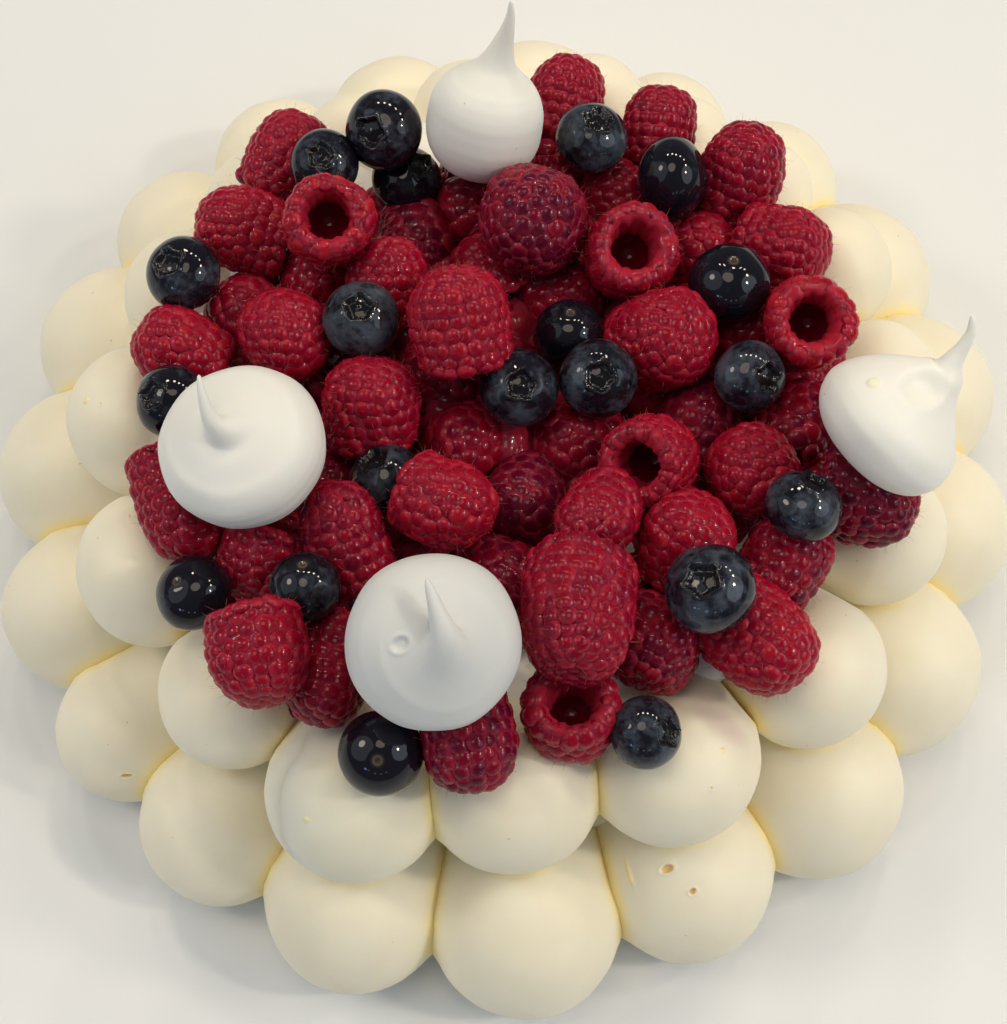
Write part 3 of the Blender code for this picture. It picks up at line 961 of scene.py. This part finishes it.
# %% The foot of the heap
HEAP_REACH = 56 * MM
mound = new_berry()
rise_mark, ripe_mark, bead_mark = marks_of(mound)
squashed = []
for reach, count in ((0, 1), (14, 6), (28, 12), (40, 16), (49, 22)):
    for step in range(count):
        spot = on_plan((reach + dice.uniform(-1.5, 1.5)) * MM,
                       360 * step / count + dice.uniform(-5, 5))
        top = CREAM_TOP + (10.5 - 0.06 * reach + dice.uniform(-1, 1)) * MM
        # Painted shade: each squashed berry is as dark as the ripest ones.
        squashed.append((spot, dice.uniform(7.4, 8.4) * MM, top, dice.uniform(0.75, 1.1)))
outline = [(HEAP_REACH * share, CREAM_TOP - 3 * MM) for share in (0, 0.6, 1)]
outline += [(HEAP_REACH * (1 - step / 80), CREAM_TOP - 1 * MM) for step in range(81)]
for vert in turn_on_axis(mound, outline, 300):
    # Painted shade: the plain disc between the caps is nearly as dark.
    height, ripeness = vert.co.z, 0.9
    for spot, radius, top, shade in squashed:
        flat = (vert.co.x - spot.x) ** 2 + (vert.co.y - spot.y) ** 2
        if flat < radius ** 2:
            cap = top - radius + math.sqrt(radius ** 2 - flat)
            if cap > height:
                height, ripeness = cap, shade
    vert[ripe_mark] = ripeness
    if vert.co.z > CREAM_TOP - 2 * MM:
        vert.co.z = height
        away, nearest = noise.voronoi(vert.co / (3.2 * MM))
        cap = math.sqrt(max(1 - (away[0] / 0.72) ** 2, 0))
        vert.co.z += 1.1 * MM * cap
        vert[rise_mark] = 0.1 + 0.6 * cap
        vert[bead_mark] = noise.cell(nearest[0] * 9)
finish_piece("berry_heap_foot", mound, raspberry_finish, "berry_heap", "berry_heap")
print(len(squashed), "squashed raspberries make a mound", round(2 * HEAP_REACH / MM), "mm across")


# %% [markdown]
# ## Hairs
# The hair on a bead is the dry style of its flower. Some have fallen off. The others are
# thin three-sided cones, bent over at random, and show mostly at a berry's edge.

# %% Hairs
finish = Finish("raspberry_hair", Roughness=0.5, Specular_IOR_Level=0.2)
finish.set("Base Color", finish.blend(finish.cloud(2 * MM), (0.30, 0.10, 0.06),
                                      (0.50, 0.26, 0.16)))
HAIRS_LOST = 0.35
one_hair = bmesh.new()
bmesh.ops.create_cone(one_hair, segments=3, radius1=0.032 * MM, radius2=0.012 * MM, depth=1)
HAIR = Stamp(one_hair)
hairs = bmesh.new()
hairs_made = 0
for root, outward in HAIRS:
    if dice.random() < HAIRS_LOST:
        continue
    hairs_made += 1
    length = dice.uniform(1.0, 2.0) * MM
    heading = (outward + random_vector(-0.75, 0.75)).normalized()
    turned = heading.to_track_quat("Z", "Y").to_matrix().to_4x4()
    HAIR.copy_to(hairs, Matrix.Translation(root + heading * length * 0.42) @ turned
                 @ Matrix.Diagonal((1, 1, length, 1)))
finish_piece("raspberry_hairs", hairs, finish.material, "raspberry")
print(hairs_made, "hairs are left on")


# %% [markdown]
# ## Blueberry finish
# A blueberry is nearly black and shines where its skin was wiped. Elsewhere a dull
# grey-blue bloom of wax lies on it in streaks. `crown` marks the dry star at its top,
# `scar` the ring where the stalk was, and `dust` says how much bloom the berry still has.

# %% Blueberry finish
finish = Finish("blueberry", Coat_Weight=1.0, Coat_Roughness=0.05, Coat_IOR=1.38,
                Specular_IOR_Level=0.0)
dust = finish.mark("dust")
streaks = finish.cloud(5 * MM, 4) * 0.65 + finish.cloud(1.3 * MM, 3) * 0.35
bloom = (streaks * 1.8 + dust * 0.55).step(1.08, 1.55)
skin = finish.blend(finish.cloud(8 * MM), (0.004, 0.004, 0.007), (0.009, 0.007, 0.013))
skin = finish.blend(bloom * 0.9, skin, (0.060, 0.072, 0.096))
skin = finish.blend(finish.mark("crown"), skin, (0.006, 0.005, 0.007))
skin = finish.blend(finish.mark("scar"), skin, (0.12, 0.085, 0.055))
finish.set("Base Color", skin)
finish.set("Roughness", 0.22 + bloom * 0.3)
finish.bump(finish.cloud(0.8 * MM, 3), 0.05 * MM, 0.4)
blueberry_finish = finish.material
print("a blueberry finish")


# %% [markdown]
# ## A blueberry
# A blueberry is a squat ball. At the top a ragged five-pointed star stands round a round
# hollow, which is what is left of the flower. At the other end a small ring and a dimple
# show where the stalk was. The rings of the sphere are drawn together at both ends, where
# the detail is.

# %% A blueberry
RING_SHARE = 0.36
CROWN_ANGLE = math.radians(36)
SCAR_ANGLE = math.radians(22)


def fine_at_the_ends(share):
    """Where a ring of the sphere goes, as an angle from the crown."""
    if share < RING_SHARE:
        return CROWN_ANGLE * share / RING_SHARE
    if share > 1 - RING_SHARE / 2:
        return math.pi - SCAR_ANGLE * (1 - share) / (RING_SHARE / 2)
    middle = (share - RING_SHARE) / (1 - 1.5 * RING_SHARE)
    return CROWN_ANGLE + (math.pi - SCAR_ANGLE - CROWN_ANGLE) * middle


def blueberry(width, length, bloom_left):
    """A blueberry with its crown up, round its own middle."""
    bm = bmesh.new()
    bmesh.ops.create_uvsphere(bm, u_segments=60, v_segments=44, radius=1)
    crown, scar, dust = (bm.verts.layers.float.new(name) for name in ("crown", "scar", "dust"))
    turn = dice.uniform(0, math.tau)
    skip = random_vector(0, 50)
    lobes = [dice.uniform(0.7, 1.15) for _ in range(5)]
    for vert in bm.verts:
        angle = fine_at_the_ends(math.acos(max(-1, min(1, vert.co.z))) / math.pi)
        round_it = math.atan2(vert.co.y, vert.co.x)
        petal = ((round_it + turn) / math.tau * 5) % 5
        point = 0.5 + 0.5 * math.cos((petal - math.floor(petal) - 0.5) * math.tau)
        tall = lobes[int(petal) % 5] * point
        ragged = noise.noise(ray_at(round_it) * 4 + skip)
        rim = math.radians(19.5 + 4.5 * tall + 2.5 * ragged)
        degrees = math.degrees(angle)
        ridge = bell(math.degrees(angle - rim), 2.2) * (0.02 + 0.09 * tall + 0.04 * ragged)
        hollow = ease((math.degrees(rim - angle) + 1) / 5) * 0.17
        button = bell(degrees, 3.5) * 0.03
        stalk = 180 - degrees
        dimple = bell(stalk, 9) * 0.05
        collar = bell(stalk - 6.5, 1.8) * 0.02
        swell = 0.035 * noise.noise(vert.co * 1.1 + skip)
        size = 1 + ridge - hollow + button - dimple + collar + swell * (angle > rim)
        vert[crown] = ease((math.degrees(rim - angle) + 3.0) / 4)
        vert[scar] = bell(stalk - 5.2, 2.2) * 0.8 + bell(stalk, 1.6) * 0.3
        vert[dust] = bloom_left
        vert.co = Vector((math.sin(angle) * math.cos(round_it) * size * width / 2,
                          math.sin(angle) * math.sin(round_it) * size * width / 2,
                          math.cos(angle) * size * length / 2))
    return bm


# %% [markdown]
# ## The blueberries on top
# As with the raspberries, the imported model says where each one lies. The last number is
# how much bloom is left on it.

# %% Blueberries
BLUEBERRIES = [Berry(*row) for row in (
    (15, 13, 30, 90, 0.35), (14, 12, 25, 230, 0.55), (13, 12, 40, 70, 0.65),
    (14, 12, 160, 90, 0.15), (15, 14, 155, 180, 0.05), (14, 13, 170, 0, 0.2),
    (15, 13, 20, 300, 0.45), (14, 12, 30, 300, 0.3), (14, 12, 40, 45, 0.85),
    (17, 14, 90, 90, 0.15), (15, 14, 25, 10, 0.55), (13, 12, 160, 0, 0.5),
    (15, 13, 25, 0, 0.6), (15, 13, 10, 90, 0.7), (14, 12, 20, 0, 0.45),
    (16, 14, 175, 0, 0.2), (15, 13, 10, 0, 0.8), (16, 14, 45, 330, 0.55),
    (14, 12, 30, 150, 0.65), (16, 14, 20, 290, 0.6),
)]

for number, berry in enumerate(BLUEBERRIES, start=1):
    node = f"blueberry_{number:02}"
    low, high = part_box(node)
    bm = blueberry(berry.width * MM, berry.length * MM, berry.shade)
    lay(bm, len(HAIRS), berry.lean, berry.bearing, (low + high) / 2)
    finish_piece(f"{node}_skin", bm, blueberry_finish, "blueberry", node)
print(len(BLUEBERRIES), "blueberries")


# %% [markdown]
# ## A kiss
# A kiss is one squeeze of the piping bag: a fat round drop with a tip where the bag was
# pulled away. Its outline is turned on its axis. Then the tip is drawn along a bent line
# of its own, a soft ledge is pushed in where the drop was pumped up in two breaths, and
# small pits and folds are pressed where the tip was torn off.

# %% A kiss
Kiss = namedtuple("Kiss", "name right back width body outline lean bearing "
                  "tip stout ledge pits dim")
Pit = namedtuple("Pit", "right back length width turn depth soft lip")

# Half an outline from the foot to the neck, in shares of the half width and the height.
ROUND = (
    (0.0, 0.0), (0.35, 0.0), (0.62, 0.01), (0.82, 0.09), (0.94, 0.22), (0.995, 0.38), (1.0, 0.5),
    (0.965, 0.63), (0.88, 0.745), (0.75, 0.84), (0.59, 0.91), (0.45, 0.96), (0.35, 1.0),
)
BUN = (
    (0.0, 0.0), (0.4, 0.0), (0.66, 0.03), (0.83, 0.11), (0.94, 0.23), (0.99, 0.36), (1.0, 0.48),
    (0.975, 0.61), (0.91, 0.73), (0.8, 0.83), (0.65, 0.91), (0.5, 0.965), (0.38, 1.0),
)
CONE = (
    (0.0, 0.0), (0.34, 0.01), (0.62, 0.05), (0.82, 0.13), (0.94, 0.23), (1.0, 0.35), (0.97, 0.47),
    (0.87, 0.59), (0.73, 0.7), (0.57, 0.81), (0.42, 0.9), (0.33, 0.96), (0.28, 1.0),
)
ONION = (
    (0.0, 0.0), (0.3, 0.0), (0.55, 0.02), (0.75, 0.09), (0.9, 0.2), (0.985, 0.33), (1.0, 0.45),
    (0.985, 0.56), (0.94, 0.67), (0.84, 0.77), (0.7, 0.855), (0.55, 0.925), (0.42, 0.975),
    (0.36, 1.0),
)
BODY_ROWS = 64
TIP_ROWS = 34
NIB = 0.3 * MM
NECK_PASSES = 50


def tip_thickness(share, neck, stout):
    """How thick a tip is: it flares out into the neck and ends in a small nib."""
    thick = NIB + stout * MM * (1 - share) ** 0.9
    thick += (neck - NIB - stout * MM) * (1 - share) ** 4.5
    return thick * math.sqrt(max(1 - share ** 24, 0))


def kiss_shape(kiss, turned):
    """A kiss before it leans over, with the middle of its body at the origin."""
    bm = new_skin()
    radius = kiss.width / 2 * MM
    body = kiss.body * MM
    profile = [Vector(pair) for pair in kiss.outline]
    outline = []
    for row in range(BODY_ROWS + 1):
        spot = curve_through(profile, row / BODY_ROWS)
        outline.append((max(spot.x * radius, 0), spot.y * body))
    neck = outline[-1][0]
    for row in range(1, TIP_ROWS + 1):
        share = row / TIP_ROWS
        outline.append((tip_thickness(share, neck, kiss.stout), body * (1 + share)))
    back = turned.inverted()
    line = [UP * kiss.body / 2] + [back @ Vector(spot) for spot in kiss.tip]
    skip = Vector((kiss.right, kiss.back, 0))
    for vert in turn_on_axis(bm, outline, 72):
        height = vert.co.z / body
        ray = Vector((vert.co.x, vert.co.y, 0))
        if height <= 1:
            for bearing, low, high, depth in kiss.ledge:
                off = abs((bearing_of(ray) - bearing + 180) % 360 - 180)
                window = ease((110 - off) / 70)
                pushed = ease((height - low) / (high - low)) * (1 - ease((height - high) / 0.3))
                vert.co -= ray.normalized() * depth * MM * window * pushed
            wave = noise.noise(Vector((ray.x, ray.y, vert.co.z * 0.6)) / (8 * MM) + skip)
            ring = noise.noise(Vector((0, 0, height * 18)) + skip)
            faded = ease((1 - height) / 0.2)
            vert.co -= (ray * 0.025 * (wave + 0.4) + ray.normalized() * 0.07 * MM * ring) * faded
            vert.co.z -= body / 2
        else:
            share = height - 1
            spot = curve_through(line, share) * MM
            ahead = curve_through(line, share + 0.03) - curve_through(line, share - 0.03)
            heading = UP.slerp(ahead.normalized(), ease(share * 4))
            vert.co = UP.rotation_difference(heading) @ ray + spot
    dim = bm.verts.layers.float["dim"]
    shoulder = [vert for vert in bm.verts if 0.36 * body < vert.co.z < 0.75 * body]
    for _ in range(NECK_PASSES):
        bmesh.ops.smooth_vert(bm, verts=shoulder, factor=0.5,
                              use_axis_x=True, use_axis_y=True, use_axis_z=True)
    # Painted shade: the kiss's share of painted grey is written on every vertex.
    for vert in bm.verts:
        vert[dim] = kiss.dim
    return bm


def pit_kiss(bm, kiss, place):
    """Pits are placed by how far they are to the right of and behind a kiss's middle."""
    for pit in kiss.pits:
        above = place + Vector((pit.right * MM, pit.back * MM, 50 * MM))
        spot, normal = skin_below(bm, above)
        # Each pit gets the painted yellow glow, a large one only a little of it.
        dent(bm, spot, normal, on_plan(1, 90 + pit.turn), pit.length * MM, pit.width * MM,
             pit.depth * MM, pit.lip * MM, "crease", pit.soft, share=0.3 if pit.length > 4 else 1)


# The last number of each kiss is how much painted shade greys it.
KISSES = (
    Kiss("kiss_back", -4.5, 47.3, 23.6, 23, ONION, 25, 153,
         ((3.4, 5.7, 14.4), (4.4, 6.6, 18.0), (5.0, 7.5, 21.0), (5.1, 8.4, 23.9)), 1.9,
         (), (), 0.1),
    Kiss("kiss_left", -47.4, -27.2, 30.4, 17, BUN, 8, 290,
         ((-2.2, -2.0, 9.6), (-3.5, -0.9, 12.8), (-4.3, 1.6, 15.8), (-4.7, 4.2, 18.0)), 1.7,
         (), (), 0.35),
    Kiss("kiss_front", -12.2, -65.3, 29.8, 19, ROUND, 30, 32,
         ((2.4, -3.2, 11.0), (1.1, 0.0, 13.7), (0.0, 3.0, 15.3), (-0.95, 5.9, 16.2)), 2.1,
         ((330, 0.7, 0.8, 0.35),), (Pit(-5.0, -3.6, 2.8, 2.2, 30, 0.45, 0.8, 0.12),), 0.9),
    Kiss("kiss_right", 69.8, -22.0, 28.8, 22.5, CONE, 50, 121,
         ((7.4, 5.4, 8.7), (8.8, 6.8, 10.8), (10.1, 8.8, 13.8), (9.8, 10.7, 16.6)), 2.0,
         ((40, 0.5, 0.8, 1.6),),
         (Pit(-6.7, 0.8, 2.6, 2.4, 0, -0.3, 0.8, 0.0),
          Pit(2.0, 0.2, 8.0, 6.4, 20, 1.5, 0.9, 0.1)), 0.0),
)

for kiss in KISSES:
    _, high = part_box(kiss.name)
    turned = leaning(kiss.lean, kiss.bearing)
    bm = kiss_shape(kiss, turned)
    tallest = max((turned @ vert.co).z for vert in bm.verts)
    place = Vector((kiss.right * MM, kiss.back * MM, high.z - tallest - 0.05 * MM))
    for vert in bm.verts:
        vert.co = turned @ vert.co + place
    pit_kiss(bm, kiss, place)
    foot = min(vert.co.z for vert in bm.verts)
    print(kiss.name, "has its middle at", round(place.z / MM, 1), "mm and its foot at",
          round(foot / MM, 1), "mm")
    finish_piece(f"{kiss.name}_skin", bm, kiss_finish, "kiss_meringue", kiss.name)


# %% [markdown]
# ## The table's finish
# A plain, pale, matt top, so that nothing draws the eye from the cake.

# %% Table finish
finish = Finish("table_top", Roughness=0.6, Specular_IOR_Level=0.2)
finish.set("Base Color", finish.blend(finish.cloud(0.4), (0.80, 0.80, 0.79),
                                      (0.82, 0.82, 0.81)))
table_mesh.materials.append(finish.material)
print("a table finish")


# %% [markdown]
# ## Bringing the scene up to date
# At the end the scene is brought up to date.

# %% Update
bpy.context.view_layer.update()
